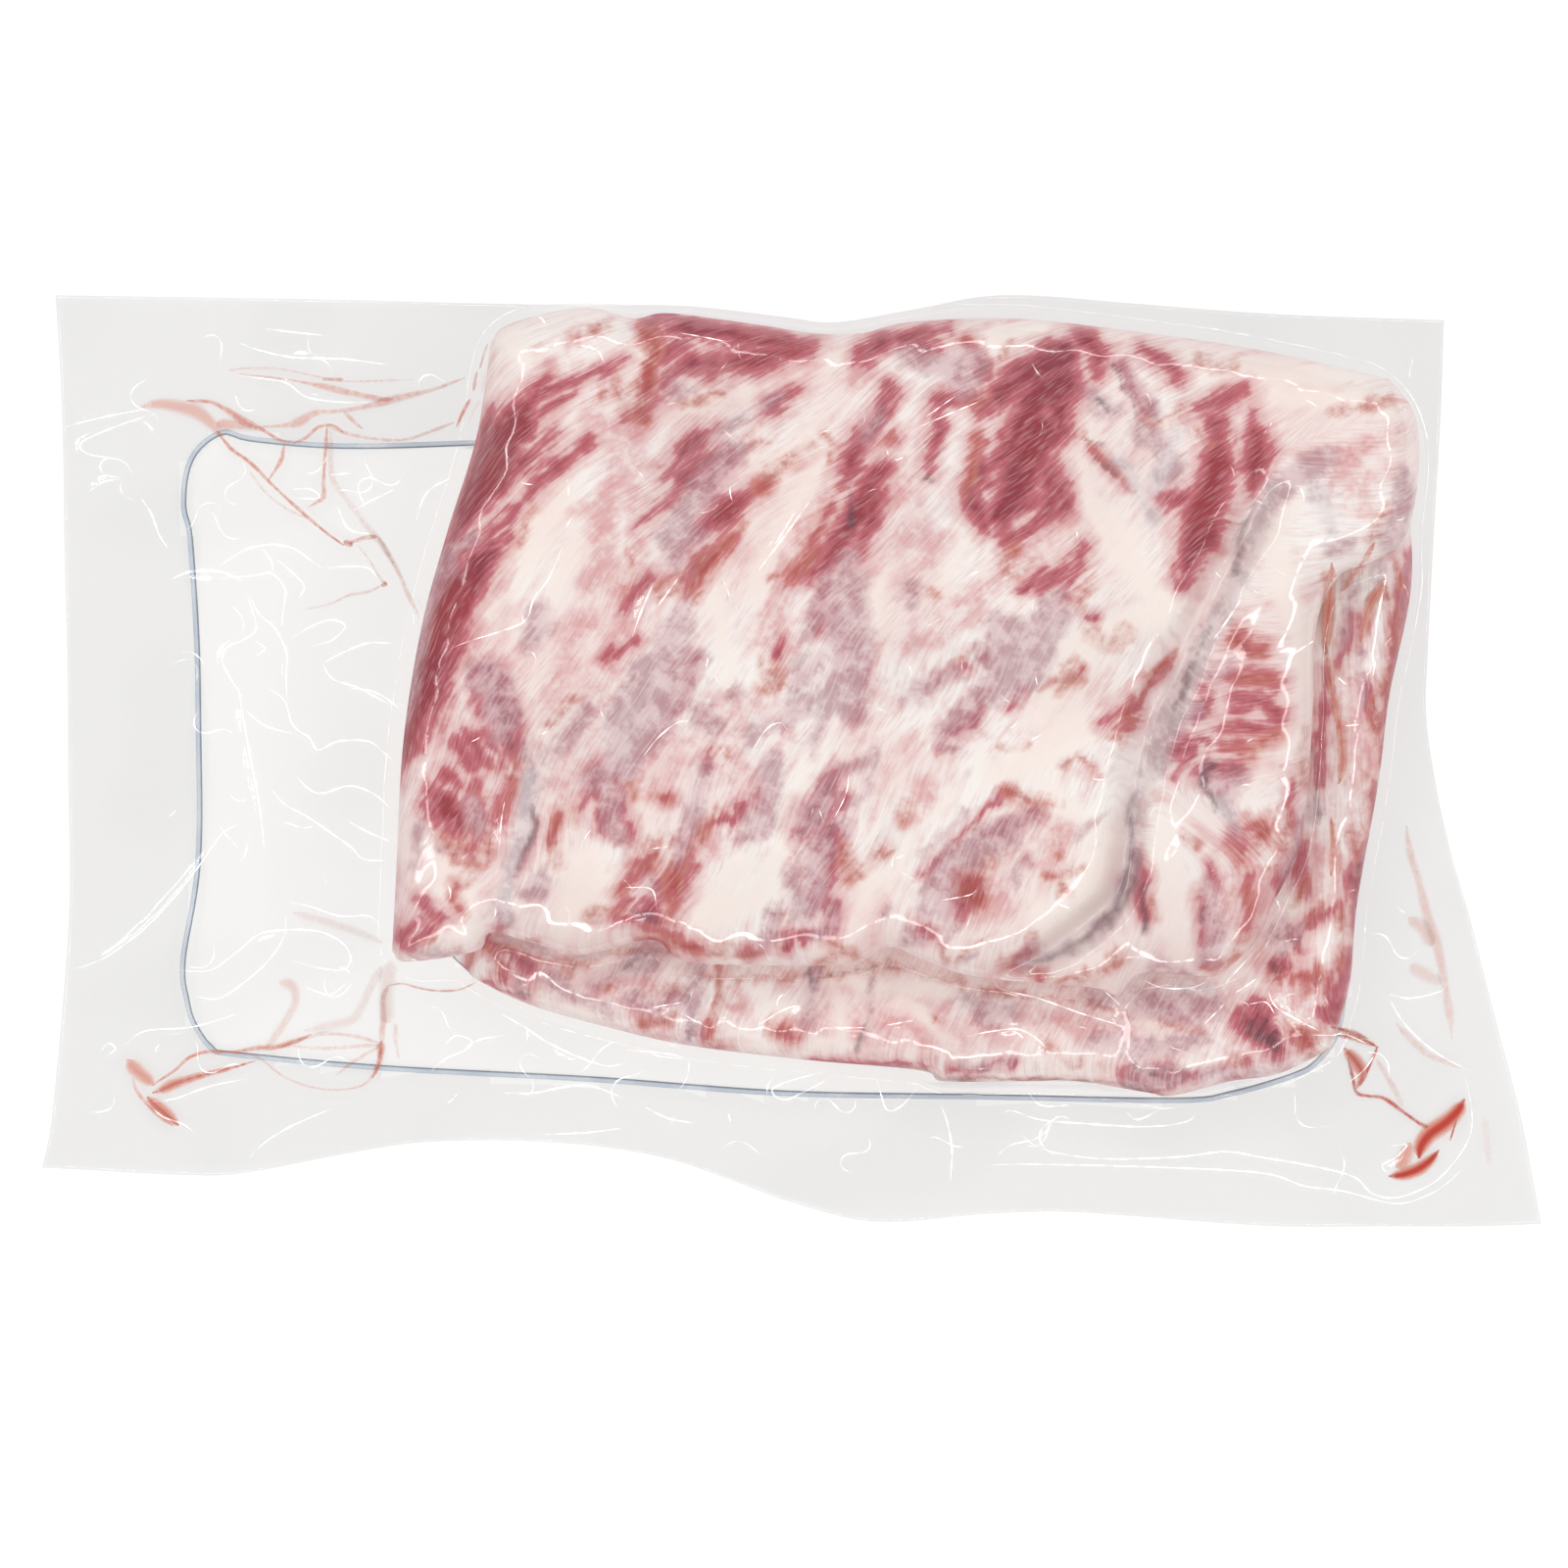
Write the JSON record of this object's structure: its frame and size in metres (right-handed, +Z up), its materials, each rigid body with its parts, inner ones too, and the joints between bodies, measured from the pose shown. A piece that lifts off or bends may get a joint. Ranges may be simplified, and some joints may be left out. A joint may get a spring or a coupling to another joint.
{
  "type": "pack of pork spare ribs",
  "caption": "Clear vacuum pouch drawn tight over a rack of raw pork spare ribs folded in two, with a wide flat margin and a bare panel on its underside.",
  "frame": {"origin": "middle of the pouch's box, on the flat underside", "axes": "+X along the pouch, away from its empty end; +Y towards the fold of the rack; +Z up, out of the side that shows"},
  "size_m": [0.42, 0.261, 0.0478],
  "materials": {
    "pork_under_film": "raw pork, lean and fat, seen through tight wet clear film",
    "pork": "raw pork: dusky lean, cream fat and greyish veil, moist",
    "clear_film": "clear pouch film, glossy, with fine wrinkles",
    "printed_panel": "pale bare panel with a blue-grey border on the flat web",
    "purge": "thin red and orange meat juice caught in creases and corners"
  },
  "bodies": {
    "root": {"sealed_pack": "pork_under_film"}
  },
  "joints": []
}
